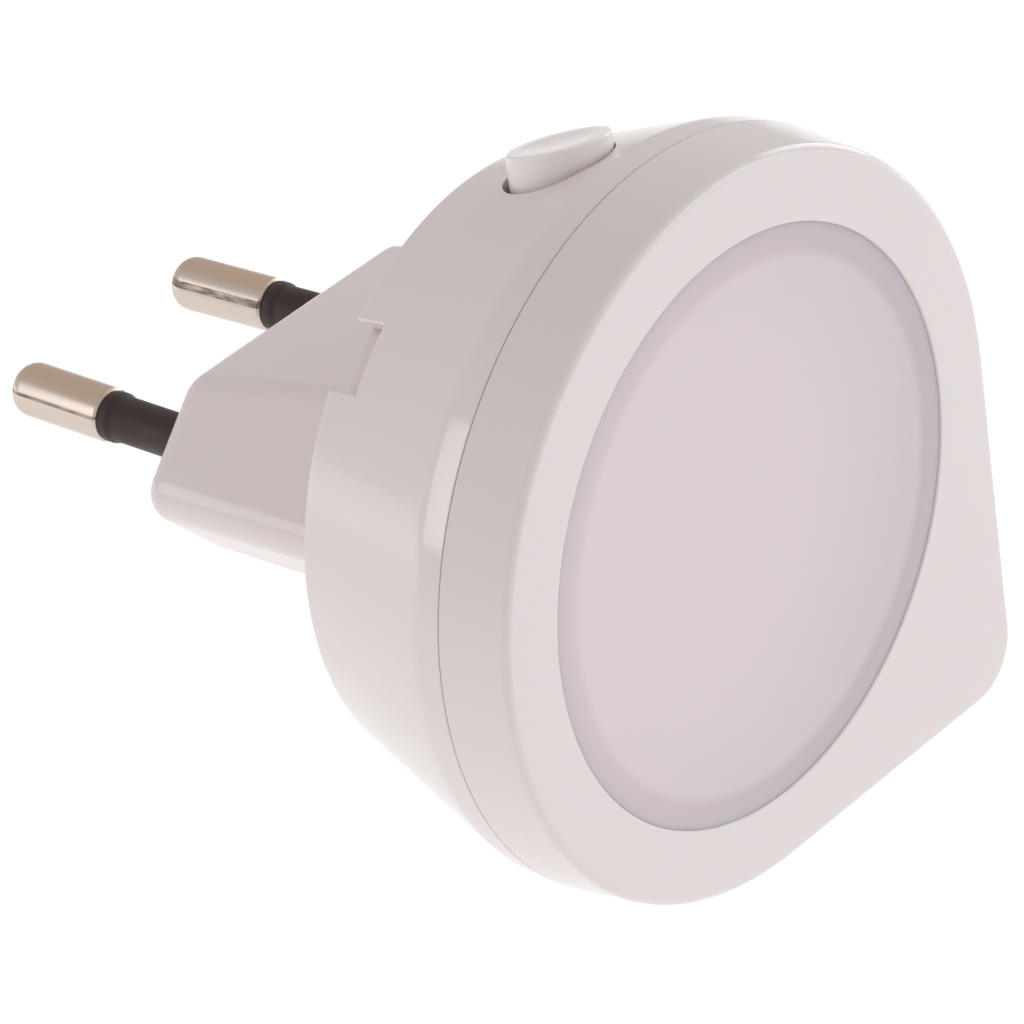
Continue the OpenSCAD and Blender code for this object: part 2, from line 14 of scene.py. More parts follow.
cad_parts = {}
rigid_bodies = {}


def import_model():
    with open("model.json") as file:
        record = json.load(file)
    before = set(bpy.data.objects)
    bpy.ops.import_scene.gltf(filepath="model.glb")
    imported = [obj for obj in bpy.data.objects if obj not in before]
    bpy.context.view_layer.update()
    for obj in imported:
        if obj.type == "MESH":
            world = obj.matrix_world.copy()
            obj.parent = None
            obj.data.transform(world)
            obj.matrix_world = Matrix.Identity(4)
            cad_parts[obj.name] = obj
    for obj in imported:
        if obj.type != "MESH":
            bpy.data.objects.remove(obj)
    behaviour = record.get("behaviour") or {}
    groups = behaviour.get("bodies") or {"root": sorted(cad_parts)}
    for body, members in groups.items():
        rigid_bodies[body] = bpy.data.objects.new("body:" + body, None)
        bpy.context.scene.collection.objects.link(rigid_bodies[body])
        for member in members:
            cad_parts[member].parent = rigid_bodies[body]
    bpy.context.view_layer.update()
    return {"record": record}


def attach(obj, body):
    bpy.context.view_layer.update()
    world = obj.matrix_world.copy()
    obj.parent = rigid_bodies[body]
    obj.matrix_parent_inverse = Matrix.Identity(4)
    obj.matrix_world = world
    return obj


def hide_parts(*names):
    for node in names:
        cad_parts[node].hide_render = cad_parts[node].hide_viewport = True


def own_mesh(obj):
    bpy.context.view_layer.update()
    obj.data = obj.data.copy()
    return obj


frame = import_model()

# %% [markdown]
# Everything is drawn with a depth, the distance from the pin face towards the viewer, so a
# depth of 41.3 mm is the front face. One helper turns millimetres into a point of the
# frame, in metres. The others choose vertices, edges or faces in edit mode by where they
# are, because an operator acts on all that is selected.

# %% Points, selections and edit mode
MM = 0.001
EPS = 2e-6
SEGMENTS = 144


def at(x, depth, z):
    """A point given in millimetres, with its depth."""
    return Vector((x, -depth, z)) * MM


def deselect():
    if bpy.context.object and bpy.context.object.mode != "OBJECT":
        bpy.ops.object.mode_set(mode="OBJECT")
    bpy.ops.object.select_all(action="DESELECT")


def activate(obj):
    deselect()
    obj.select_set(True)
    bpy.context.view_layer.objects.active = obj
    return obj


def edit(obj):
    activate(obj)
    bpy.ops.object.mode_set(mode="EDIT")


def done():
    bpy.ops.object.mode_set(mode="OBJECT")
    return bpy.context.object


def pick(kind, test):
    """Selects the vertices, edges or faces of the mesh in edit mode that pass the test."""
    mesh = bmesh.from_edit_mesh(bpy.context.object.data)
    bpy.ops.mesh.select_mode(type=kind)
    bpy.ops.mesh.select_all(action="DESELECT")
    elements = {"VERT": mesh.verts, "EDGE": mesh.edges, "FACE": mesh.faces}[kind]
    found = [e for e in elements if test(e)]
    for element in found:
        element.select_set(True)
    mesh.select_flush_mode()
    bmesh.update_edit_mesh(bpy.context.object.data)
    return len(found)


def radius_of(point):
    """Distance from the centre line, in millimetres."""
    return math.hypot(point.x, point.z) / MM


def depth_of(point):
    return -point.y / MM


def near(a, b, slack=0.01):
    return abs(a - b) < slack


print("one circle has", SEGMENTS, "segments")

# %% [markdown]
# Two ways of shaping make most of the lamp. A profile is drawn point by point with extrude
# and then spun, as on a lathe. And rings are bridged, one to the next: a ring is a circle,
# or the lamp's own outline, a circle with one square corner. That one is drawn by cutting a
# quarter out of a circle and walking round the corner with extrude and spin.

# %% Draw and turn a profile


def draw(name, points):
    """A chain of edges through the points, drawn with extrude."""
    deselect()
    bpy.ops.mesh.primitive_plane_add(size=MM, location=points[0])
    obj = bpy.context.object
    obj.name = obj.data.name = name
    edit(obj)
    bpy.ops.mesh.select_mode(type="VERT")
    bpy.ops.mesh.select_all(action="SELECT")
    bpy.ops.mesh.merge(type="CENTER")
    for a, b in zip(points, points[1:]):
        bpy.ops.mesh.extrude_region_move(TRANSFORM_OT_translate={"value": b - a})
    done()
    bpy.ops.object.transform_apply(location=True, rotation=True, scale=True)
    return obj


def tidy(obj, merge=1e-6):
    """Merges vertices closer than a distance in metres, and turns the faces outwards."""
    edit(obj)
    bpy.ops.mesh.select_all(action="SELECT")
    bpy.ops.mesh.remove_doubles(threshold=merge)
    bpy.ops.mesh.normals_make_consistent(inside=False)
    done()
    return obj


def turn(name, profile, steps=SEGMENTS):
    """Turns a profile of (radius, depth) pairs into a solid round the centre line."""
    obj = draw(name, [at(r, d, 0) for r, d in profile])
    edit(obj)
    bpy.ops.mesh.select_all(action="SELECT")
    bpy.ops.mesh.spin(steps=steps, angle=2 * math.pi, center=(0, 0, 0), axis=(0, 1, 0))
    done()
    return tidy(obj)


print("profiles can be drawn and turned")

# %% Rings and lofts
STRAIGHT_CUTS = 3
APART = 60
CORNER_STEPS = SEGMENTS // 4 - 2 * (STRAIGHT_CUTS + 1)


def circle_ring(radius, depth):
    deselect()
    bpy.ops.mesh.primitive_circle_add(
        vertices=SEGMENTS, radius=radius * MM, location=at(0, depth, 0),
        rotation=(math.pi / 2, 0, 0))
    bpy.ops.object.transform_apply(location=True, rotation=True, scale=True)
    return bpy.context.object


def lamp_ring(radius, corner, depth):
    """The lamp's outline: a circle with one square corner at the lower right."""
    obj = circle_ring(radius, depth)
    run = (radius - corner) * MM
    edit(obj)
    pick("VERT", lambda v: v.co.x > EPS and v.co.z < -EPS)
    bpy.ops.mesh.delete(type="VERT")
    pick("VERT", lambda v: abs(v.co.x) < EPS and v.co.z < 0)
    bpy.ops.mesh.extrude_region_move(TRANSFORM_OT_translate={"value": (run, 0, 0)})
    pick("EDGE", lambda e: near(e.calc_length() / MM, run / MM))
    bpy.ops.mesh.subdivide(number_cuts=STRAIGHT_CUTS)
    pick("VERT", lambda v: near(v.co.x / MM, run / MM) and near(v.co.z / MM, -radius))
    bpy.ops.mesh.spin(steps=CORNER_STEPS, angle=math.pi / 2, axis=(0, 1, 0),
                      center=at(radius - corner, depth, corner - radius))
    pick("VERT", lambda v: near(v.co.x / MM, radius) and near(v.co.z / MM, -run / MM))
    bpy.ops.mesh.extrude_region_move(TRANSFORM_OT_translate={"value": (0, 0, run)})
    pick("EDGE", lambda e: near(e.calc_length() / MM, run / MM))
    bpy.ops.mesh.subdivide(number_cuts=STRAIGHT_CUTS)
    bpy.ops.mesh.select_all(action="SELECT")
    bpy.ops.mesh.remove_doubles(threshold=1e-5)
    return done()


def loft(name, specs):
    """Bridges each ring to the next, and the last to the first. A ring is (radius, depth)
    for a circle or (radius, corner, depth) for the outline. The rings stand well apart
    while they are bridged, because two rings in one plane give the operator no direction,
    and are then pushed home."""
    rings = []
    for i, spec in enumerate(specs):
        spec = (*spec[:-1], spec[-1] + APART * i)
        obj = circle_ring(*spec) if len(spec) == 2 else lamp_ring(*spec)
        tag = obj.data.attributes.new("ring", "INT", "POINT")
        tag.data.foreach_set("value", [i] * len(obj.data.vertices))
        rings.append(obj)
    deselect()
    for obj in rings:
        obj.select_set(True)
    bpy.context.view_layer.objects.active = rings[0]
    bpy.ops.object.join()
    obj = bpy.context.object
    obj.name = obj.data.name = name
    edit(obj)
    for i in range(len(specs)):
        pair = (i, (i + 1) % len(specs))
        layer = bmesh.from_edit_mesh(obj.data).verts.layers.int["ring"]
        pick("EDGE", lambda e: e.verts[0][layer] == e.verts[1][layer]
             and e.verts[0][layer] in pair)
        bpy.ops.mesh.bridge_edge_loops()
    for i in range(1, len(specs)):
        layer = bmesh.from_edit_mesh(obj.data).verts.layers.int["ring"]
        pick("VERT", lambda v: v[layer] == i)
        bpy.ops.transform.translate(value=at(0, -APART * i, 0))
    done()
    return tidy(obj)


def between(obj, i, j, cuts):
    """Adds rows of vertices between two neighbouring rings."""
    edit(obj)
    layer = bmesh.from_edit_mesh(obj.data).verts.layers.int["ring"]
    pick("EDGE", lambda e: {v[layer] for v in e.verts} == {i, j})
    bpy.ops.mesh.subdivide(number_cuts=cuts)
    done()


def soften(obj, test, width, steps):
    """Bevels the edges that pass the test, by a width in millimetres, in rounding steps."""
    edit(obj)
    count = pick("EDGE", test)
    bpy.ops.mesh.bevel(offset=width * MM, offset_type="OFFSET", segments=steps, profile=0.5,
                       affect="EDGES", clamp_overlap=True)
    done()
    return count


def at_depth(depth, from_radius=0):
    """True for an edge at that depth whose ends are at least so far from the centre line."""
    return lambda edge: all(near(depth_of(v.co), depth) and radius_of(v.co) >= from_radius
                            for v in edge.verts)


def on_circle(radius, depth):
    """True for an edge of the circle of that radius at that depth."""
    return lambda edge: all(near(depth_of(v.co), depth) and near(radius_of(v.co), radius)
                            for v in edge.verts)


def smooth(obj, angle=35):
    """Smooth shading in which the large faces keep their own direction, so a flat wall
    reflects like a flat wall right up to its bevels."""
    activate(obj)
    bpy.ops.object.shade_smooth_by_angle(angle=math.radians(angle))
    weigh = obj.modifiers.new("Weigh", "WEIGHTED_NORMAL")
    weigh.weight, weigh.keep_sharp = 100, True
    bpy.ops.object.modifier_apply(modifier=weigh.name)
    return obj


def cut_with(obj, cutter, how="DIFFERENCE"):
    """Applies a boolean and deletes the cutter."""
    activate(obj)
    change = obj.modifiers.new("Cut", "BOOLEAN")
    change.operation, change.solver, change.object = how, "MANIFOLD", cutter
    bpy.ops.object.modifier_apply(modifier=change.name)
    bpy.data.objects.remove(cutter)
    return obj


print("an outline's corner is spun in", CORNER_STEPS, "steps")

# %% [markdown]
# The front bezel is a moulded ring: a thin side wall with a little draft, a flat face with
# a crisp rounded edge, and a round hole for the lens. Its section is a closed loop of six
# corners, so six rings bridged in a circle give the whole wall, inside and out.

# %% Front bezel
SEAM, HALF_GAP, SEAM_EDGE = 35.8, 0.03, 0.08
FACE, FACE_IN = 41.3, 39.7
BODY_R, CORNER_R, DRAFT = 27.25, 4.5, 0.5
WALL_IN = (25.55, 3.2)
OPENING_R = 21.4
FACE_FROM, SEAM_FROM = 26.55, 26.95

bezel = loft("bezel_shell", [
    (BODY_R, CORNER_R, SEAM + HALF_GAP), (BODY_R - DRAFT, CORNER_R - DRAFT, FACE),
    (OPENING_R, FACE), (OPENING_R, FACE_IN),
    (*WALL_IN, FACE_IN), (*WALL_IN, SEAM + HALF_GAP)])
soften(bezel, at_depth(FACE, FACE_FROM), 0.6, 5)
soften(bezel, on_circle(OPENING_R, FACE), 0.2, 3)
soften(bezel, at_depth(SEAM + HALF_GAP, SEAM_FROM), SEAM_EDGE, 2)
smooth(bezel)
print("bezel faces:", len(bezel.data.polygons))

# %% [markdown]
# The milky lens is a turned form: a low crown, a soft shoulder that falls behind the face,
# a straight edge and a hidden flange that the bezel's hooks hold. Drawing half of its
# section and spinning it gives a seamless surface with one pole, which is merged.

# %% Diffuser lens
LENS_R, PLATEAU_R, CROWN, DROP = 21.398, 19.3, 0.3, 0.14
FLANGE_R, FLANGE_BACK, HOLLOW_R, LENS_WALL = 22.4, 38.5, 17.9, 1.4
dome = [(PLATEAU_R * i / 14, FACE + CROWN * (1 - (i / 14) ** 2)) for i in range(15)]
shoulder = [(PLATEAU_R + (LENS_R - PLATEAU_R) * i / 12, FACE - DROP * (i / 12) ** 2)
            for i in range(1, 13)]
hidden = [(LENS_R, FACE_IN), (FLANGE_R, FACE_IN), (FLANGE_R, FLANGE_BACK),
          (HOLLOW_R, FLANGE_BACK), (HOLLOW_R, FACE - LENS_WALL), (0, FACE - LENS_WALL)]
lens = turn("lens_cover", dome + shoulder + hidden)
smooth(lens)
print("lens faces:", len(lens.data.polygons))

# %% [markdown]
# Four small hooks hold the lens from behind. They are hidden, but the lens would fall out
# without them. One is made as a post and a nib, and the others are copies turned round the
# centre line, each with its own mesh.

# %% Lens hooks


def place(obj, where=(0, 0, 0), turned=(0, 0, 0)):
    """Moves and turns a piece, and leaves its object at the origin."""
    activate(obj)
    obj.location, obj.rotation_euler = where, turned
    bpy.ops.object.transform_apply(location=True, rotation=True, scale=True)
    return obj


def block(name, low, high, edge=0.15):
    """A block between two (x, depth, z) corners, with softened edges."""
    a, b = at(*low), at(*high)
    deselect()
    bpy.ops.mesh.primitive_cube_add(size=1, location=(a + b) / 2,
                                    scale=[abs(p - q) for p, q in zip(a, b)])
    obj = bpy.context.object
    obj.name = obj.data.name = name
    bpy.ops.object.transform_apply(location=True, rotation=True, scale=True)
    if edge:
        soften(obj, lambda e: True, edge, 2)
    return obj


def twin(obj, name):
    """A copy with a mesh of its own."""
    activate(obj)
    bpy.ops.object.duplicate()
    copy = bpy.context.object
    copy.name = copy.data.name = name
    return copy


HOOK_END, HOOK_HALF = 37.8, 2
hook = block("lens_hook_1", (22.5, HOOK_END, -HOOK_HALF), (23.7, FACE_IN + 0.2, HOOK_HALF))
nib = block("nib", (21.8, HOOK_END, -HOOK_HALF), (22.8, 38.4, HOOK_HALF))
hook = cut_with(hook, nib, "UNION")
hooks = [place(smooth(hook, 30), turned=(0, math.pi / 4, 0))]
for i in (2, 3, 4):
    hooks.append(place(twin(hook, f"lens_hook_{i}"), turned=(0, math.pi / 2 * (i - 1), 0)))
print("lens hooks:", [h.name for h in hooks])

# %% [markdown]
# The rear housing is the piece that takes the most skill to mould: outside, a cone runs
# from the cornered outline at the seam to a round rim; inside, it carries a lip for the
# bezel, a seat for the plug's plate, a guide collar for the button and two screw posts.
# Again the section is a closed loop, and one ring is made for each of its corners. Rows of
# extra vertices along the cone let the light run smoothly over its twisted flanks.

# %% Rear housing
LAND_BACK, LAND_DRAFT = 33.6, 0.12
RIM, RIM_R = 19.9, 22.4
SEAT, LEDGE = 21.9, 23.4
LEDGE_R, LIP_IN, LIP_OUT, LIP_TOP = 19.45, (24.25, 1.9), (25.45, 3.1), 37.3
CONE_ROWS = 23
SLOPE = math.atan2(BODY_R - RIM_R, LAND_BACK - RIM)

shell = loft("rear_shell", [
    # Outside: the seam, the end of the straight land and the rim.
    (BODY_R, CORNER_R, SEAM - HALF_GAP),
    (BODY_R - LAND_DRAFT, CORNER_R - LAND_DRAFT, LAND_BACK), (RIM_R, RIM),
    # Inside: the plate's recess and the ledge it rests on.
    (20.6, RIM), (21.31, SEAT), (LEDGE_R, SEAT), (LEDGE_R, LEDGE), (21.84, LEDGE),
    # Inside: up the cone and round the lip, back to the seam.
    (25.45, 2.7, LAND_BACK), (*LIP_IN, 34.2), (*LIP_IN, LIP_TOP), (*LIP_OUT, LIP_TOP),
    (*LIP_OUT, SEAM - HALF_GAP)])
between(shell, 1, 2, CONE_ROWS)
soften(shell, at_depth(SEAM - HALF_GAP, SEAM_FROM), SEAM_EDGE, 2)
soften(shell, at_depth(LAND_BACK, SEAM_FROM), 0.35, 3)
soften(shell, on_circle(RIM_R, RIM), 0.12, 2)
print("shell faces:", len(shell.data.polygons))

# %% [markdown]
# The collar, the posts and their ribs grow out of the housing's wall, so they are united
# with it. Each is a plain turned or drawn form whose far end stops inside the wall.

# %% Collar, posts and ribs
CAP_DEPTH, CAP_SURFACE = 27.9, 25.232
COLLAR_R, COLLAR_FOOT = 5, 19.232
POST_X, POST_R, POST_FOOT, BOARD_BACK = 19.55, 2.5, 21.95, 32.8
RIB, RIB_FOOT, RIB_TOP = 1.4, 22.1, BOARD_BACK - 0.1


def upright(name, profile, steps=72):
    """Turns a profile of (radius, height) pairs round the button's centre line."""
    return place(turn(name, profile, steps), at(0, CAP_DEPTH, 0), (-math.pi / 2, 0, 0))


def trim(obj, point, normal):
    """Cuts away what lies beyond a plane and closes the cut."""
    edit(obj)
    bpy.ops.mesh.select_all(action="SELECT")
    bpy.ops.mesh.bisect(plane_co=point, plane_no=normal, use_fill=True, clear_outer=True)
    done()
    return obj


def tilted(turn_angle):
    """The direction out of the cone above the button, turned round the button's own axis."""
    lean = math.sin(SLOPE)
    return Vector((lean * math.sin(turn_angle), lean * math.cos(turn_angle), math.cos(SLOPE)))


def bar(radius, start, stop):
    """The profile of a plain round bar."""
    return [(0, start), (radius, start), (radius, stop), (0, stop)]


collar = trim(upright("collar", bar(COLLAR_R, COLLAR_FOOT, 27)),
              at(0, CAP_DEPTH, CAP_SURFACE - 1), tilted(0))
shell = cut_with(shell, collar, "UNION")
for side in (-1, 1):
    post = turn("post", bar(POST_R, POST_FOOT, BOARD_BACK), 48)
    shell = cut_with(shell, place(post, at(side * POST_X, 0, 0)), "UNION")
    rib = draw("rib", [at(side * x, depth, 0) for x, depth in [
        (POST_X, RIB_FOOT), (22.2, RIB_FOOT), (26, RIB_TOP), (POST_X, RIB_TOP),
        (POST_X, RIB_FOOT)]])
    tidy(rib)
    edit(rib)
    bpy.ops.mesh.select_all(action="SELECT")
    bpy.ops.mesh.edge_face_add()
    bpy.ops.mesh.extrude_region_move(TRANSFORM_OT_translate={"value": (0, 0, RIB * MM)})
    done()
    shell = cut_with(shell, tidy(place(rib, (0, 0, -RIB / 2 * MM))), "UNION")
    pilot = turn("pilot", bar(1, 26, 34), 32)
    shell = cut_with(shell, place(pilot, at(side * POST_X, 0, 0)))
print("shell faces with its inside:", len(shell.data.polygons))

# %% [markdown]
# The finger dish is the mark of a large ball, pressed 0.35 mm into the cone. Only the cap
# of that ball is turned, finely, and it is leaned like the cone. Then come the button's
# hole and the square notch in the rim, where a blade goes in to part the lamp. A thin
# square rod, turned by 45 degrees, chamfers the notch's upper edge.

# %% Dish, button hole and notch


def press(obj, ball, reach, deep, height, turn_angle):
    """Presses the mark of a ball of that radius into a slope above the button. Only the
    cap of the ball within reach is made, and it goes in as deep as is said."""
    radii = [reach * i / 24 for i in range(25)]
    curve = [(r, ball - math.sqrt(ball ** 2 - r ** 2)) for r in radii]
    mark = turn("mark", curve + [(reach, 3), (0, 3)])
    place(mark, turned=(-math.pi / 2, 0, 0))
    place(mark, at(0, CAP_DEPTH, height) - deep * MM * tilted(turn_angle),
          (-SLOPE, 0, -turn_angle))
    return cut_with(obj, mark)


shell = press(shell, 50, 9, 0.35, CAP_SURFACE, 0)
HOLE_R, HOLE_X = 4.0, -0.25
hole = upright("hole", bar(HOLE_R, 18, 30))
shell = cut_with(shell, place(hole, at(HOLE_X, 0, 0)))

NOTCH_TURN, NOTCH_HALF, ROD_HALF = -math.radians(44), 2.6, 0.18
SLIVER = 2e-5


def plain_block(name, low, high, turn_angle=NOTCH_TURN):
    """A sharp block, turned round the centre line to where the notch is."""
    return place(block(name, low, high, 0), turned=(0, turn_angle, 0))


notch = plain_block("notch", (-NOTCH_HALF, 18.5, 20.4), (NOTCH_HALF, 23.1, 26))
shell = cut_with(shell, notch)
rod = plain_block("rod", (-ROD_HALF, -2.6, -ROD_HALF), (ROD_HALF, 2, ROD_HALF), math.pi / 4)
rod = place(rod, at(NOTCH_HALF, 21.2, 22.8), (-SLOPE, 0, 0))
shell = cut_with(shell, place(rod, turned=(0, NOTCH_TURN, 0)))
tidy(shell, SLIVER)


def from_button(point):
    return math.hypot(point.x - HOLE_X * MM, point.y + CAP_DEPTH * MM) / MM


def on_hole(edge):
    a, b = (v.co for v in edge.verts)
    return (near(from_button(a), HOLE_R, 0.03) and near(from_button(b), HOLE_R, 0.03)
            and min(a.z, b.z) > 22 * MM and (a - b).xy.length > 0.02 * MM)


print("hole edges:", soften(shell, on_hole, 0.35, 3))
smooth(shell, 40)
print("shell faces, finished:", len(shell.data.polygons))

# %% [markdown]
# The plug is a flat hexagon with slopes at 45 degrees that flares towards the housing. The
# hexagon is drawn, filled and extruded, its far end is resized, and the six long edges are
# rounded with one radius: a square corner needs a wider bevel than a blunt one for that.
# The pin face gets a rounding too, and the round plate that closes the housing is united.
# A short slot in the plate's edge lies in the notch, as a dark line.

# %% Plug body


def hexagon(name, near_end, far_end, rounding):
    """A six-sided block from one end to the other. An end is (side, top, height, depth):
    half its width in the middle and at the top, half its height, and where it lies."""
    side, top, height, depth = near_end
    corners = [(side, 0), (top, height), (-top, height), (-side, 0), (-top, -height),
               (top, -height), (side, 0)]
    obj = draw(name, [at(x, depth, z) for x, z in corners])
    tidy(obj)
    edit(obj)
    bpy.ops.mesh.select_all(action="SELECT")
    bpy.ops.mesh.edge_face_add()
    far_side, far_top, far_height, far_depth = far_end
    bpy.ops.mesh.extrude_region_move(
        TRANSFORM_OT_translate={"value": at(0, far_depth - depth, 0)})
    pick("VERT", lambda v: near(depth_of(v.co), far_depth) and abs(v.co.z) < EPS)
    bpy.ops.transform.resize(value=(far_side / side, 1, 1), center_override=(0, 0, 0))
    pick("VERT", lambda v: near(depth_of(v.co), far_depth) and abs(v.co.z) > EPS)
    bpy.ops.transform.resize(value=(far_top / top, 1, far_height / height),
                             center_override=(0, 0, 0))
    done()
    tidy(obj)

    def long_edge(edge):
        a, b = (v.co for v in edge.verts)
        return abs(depth_of(a) - depth_of(b)) > 5

    def at_top(edge):
        return (long_edge(edge) and min(abs(v.co.z) for v in edge.verts) > 4 * MM
                and min(abs(v.co.x) for v in edge.verts) < (top + 0.01) * MM
                and len(edge.link_faces) == 2
                and edge.calc_face_angle() > math.radians(30))

    soften(obj, lambda e: long_edge(e) and abs(e.verts[0].co.z) < EPS, rounding, 10)
    soften(obj, at_top, rounding * math.tan(math.pi / 8), 6)
    return obj


PLATE_R, PLATE_EDGE = 20.45, 0.15
PIN_X, LEAN = 9.3, math.atan2(0.55, 19)
CORE_R, SLEEVE_R, SLEEVE_FOOT = 1.4, 1.7, 1.5

plug = hexagon("plug_body", (18.094, 11.244, 6.85, 0), (17.694, 8.444, 9.25, 20.9), 2.4)
soften(plug, at_depth(0), 1.5, 6)
plate = turn("plate", [
    (0, RIM), (PLATE_R - 0.03, RIM), (PLATE_R, RIM + 0.03), (PLATE_R, SEAT - PLATE_EDGE),
    (PLATE_R - PLATE_EDGE, SEAT), (0, SEAT)])
plug = cut_with(plug, plate, "UNION")
plug = cut_with(plug, plain_block("slot", (-0.39, 20.75, 19.8), (0.67, 21, 22)))
plug = cut_with(plug, hexagon("hollow", (14.7, 9.35, 4.85, 6), (15.6, 7.3, 7.25, 24), 1.2))
for side in (-1, 1):
    bore = turn("bore", [
        (0, -1), (2.1, -1), (2.1, 0.5), (SLEEVE_R, 0.5), (SLEEVE_R, SLEEVE_FOOT),
        (CORE_R, SLEEVE_FOOT), (CORE_R, 8), (0, 8)], 64)
    plug = cut_with(plug, place(bore, at(side * PIN_X, 0, 0), (0, 0, side * LEAN)))
smooth(plug, 40)
print("plug faces:", len(plug.data.polygons))

# %% [markdown]
# Each pin is one turned part: a thin core inside the sleeve and a bare tip 4 mm across with
# a rounded end. The sleeve is moulded over the core and swells a little where it meets the
# tip. The pins lean towards each other by a little more than half a millimetre, which makes
# them grip in the socket.

# %% Pins and sleeves
PIN_R, PIN_END, PIN_TAIL, TIP_START = 2, -19, 9, -10
END_R, END_BEVEL = 1.4, 0.16
angles = [math.pi / 16 * i for i in range(9)]
end = [(PIN_R - END_R + END_R * math.cos(a), PIN_END + END_R - END_R * math.sin(a))
       for a in angles]
pin_left = turn("pin_left_turned", [
    (0, PIN_TAIL), (CORE_R, PIN_TAIL), (CORE_R, TIP_START), (PIN_R - END_BEVEL, TIP_START),
    (PIN_R, TIP_START - END_BEVEL), *end, (0, PIN_END)], 96)
sleeve_left = turn("sleeve_left_moulded", [
    (CORE_R, SLEEVE_FOOT), (SLEEVE_R, SLEEVE_FOOT), (SLEEVE_R, 0), (SLEEVE_R, -8.7),
    (1.72, -8.8), (1.85, -9.1), (1.87, -9.2), (1.87, -9.88), (1.8, TIP_START),
    (CORE_R, TIP_START), (CORE_R, SLEEVE_FOOT)], 96)
pin_right = twin(pin_left, "pin_right_turned")
sleeve_right = twin(sleeve_left, "sleeve_right_moulded")
for side, pieces in ((-1, (pin_left, sleeve_left)), (1, (pin_right, sleeve_right))):
    for piece in pieces:
        place(smooth(piece), at(side * PIN_X, 0, 0), (0, 0, side * LEAN))
print("pins and sleeves:", len(pin_left.data.polygons), len(sleeve_left.data.polygons))

# %% [markdown]
# The button is a short round bar with a flange that stops it under the collar. Its top is
# sliced off along the slope of the housing, rounded, so the edge is the same width all
# round, and pressed a little hollow. A square pocket underneath takes the switch's plunger.

# %% Button cap
CAP_R, CAP_FOOT, STOP_R, STOP_TOP = 3.7, 18.032, 4.4, 18.932
POCKET_HALF = 1.6
TOP_TURN, TOP_HEIGHT = math.radians(25), CAP_SURFACE + 1.51
TOP, TOP_MIDDLE = tilted(TOP_TURN), at(0, CAP_DEPTH, TOP_HEIGHT)


def on_top(edge):
    return all(near((v.co - TOP_MIDDLE).dot(TOP) / MM, 0) for v in edge.verts)


crown = upright("button_crown", [(0, CAP_FOOT), (STOP_R, CAP_FOOT), (STOP_R, STOP_TOP),
                                 (CAP_R, STOP_TOP), (CAP_R, 32), (0, 32)], 96)
trim(crown, TOP_MIDDLE, TOP)
soften(crown, on_top, 0.22, 4)
crown = press(crown, 30, 4, 0.15, TOP_HEIGHT, TOP_TURN)
crown = cut_with(crown, block("pocket", (-POCKET_HALF, CAP_DEPTH - POCKET_HALF, 17),
                              (POCKET_HALF, CAP_DEPTH + POCKET_HALF, 21.53), 0))
smooth(crown, 40)
print("button faces:", len(crown.data.polygons))

# %% [markdown]
# The switch's return spring sits in a closed chamber under the cap, between the chamber's
# floor and a shoulder of the plunger. It is a steel wire wound round a mandrel, so a small
# circle is screwed round the button's centre line.

# %% Return spring
COIL_R, WIRE_R, COIL_TURNS, COIL_RISE = 1.7, 0.2, 4.5, 4.61
CHAMBER_FLOOR = 8.132
deselect()
bpy.ops.mesh.primitive_circle_add(vertices=12, radius=WIRE_R * MM, location=at(COIL_R, 0, 0),
                                  rotation=(math.pi / 2, 0, 0))
spring = bpy.context.object
spring.name = spring.data.name = "return_spring"
bpy.ops.object.transform_apply(location=True, rotation=True, scale=True)
wind = spring.modifiers.new("Wind", "SCREW")
wind.angle, wind.screw_offset = COIL_TURNS * 2 * math.pi, COIL_RISE * MM
wind.steps = wind.render_steps = SEGMENTS
bpy.ops.object.modifier_apply(modifier=wind.name)
edit(spring)
bpy.ops.mesh.select_all(action="SELECT")
bpy.ops.mesh.fill_holes(sides=0)
done()
place(smooth(tidy(spring)), at(0, CAP_DEPTH, CHAMBER_FLOOR + 1.1 * WIRE_R))
print("spring faces:", len(spring.data.polygons))

# %% [markdown]
# Moulded plastic is never one flat colour. Its tone drifts a little over the part, its
# gloss changes where the mould was polished, and its skin is faintly wavy, so a reflection
# has a soft, uneven edge. One helper makes all of that from four noises on Object
# coordinates, and every finish gives it its own colour, gloss, drift and grain.

# %% A helper for moulded finishes


def finish(name):
    """A fresh shader. The frame already holds a plain material for each slot's name."""
    mat = bpy.data.materials.get(name) or bpy.data.materials.new(name)
    mat.use_nodes = True
    tree = mat.node_tree
    tree.nodes.clear()
    shader = tree.nodes.new("ShaderNodeBsdfPrincipled")
    surface = tree.nodes.new("ShaderNodeOutputMaterial").inputs["Surface"]
    tree.links.new(shader.outputs["BSDF"], surface)
    return mat, tree, shader


def opened(mat):
    """The node tree of a finish, and its shader."""
    return mat.node_tree, mat.node_tree.nodes["Principled BSDF"]


def add(tree, kind, inputs=(), **settings):
    """Adds a node, with its settings and the values of its inputs."""
    node = tree.nodes.new(kind)
    for key, value in settings.items():
        setattr(node, key, value)
    for key, value in dict(inputs).items():
        node.inputs[key].default_value = value
    return node


def noise(tree, scale, detail=2.0, stretch=None):
    """A noise on Object coordinates; scale counts features per metre."""
    where = add(tree, "ShaderNodeTexCoord").outputs["Object"]
    if stretch:
        mapping = add(tree, "ShaderNodeMapping", {"Scale": stretch})
        tree.links.new(where, mapping.inputs["Vector"])
        where = mapping.outputs["Vector"]
    node = add(tree, "ShaderNodeTexNoise", {"Scale": scale, "Detail": detail})
    tree.links.new(where, node.inputs["Vector"])
    return node.outputs["Fac"]


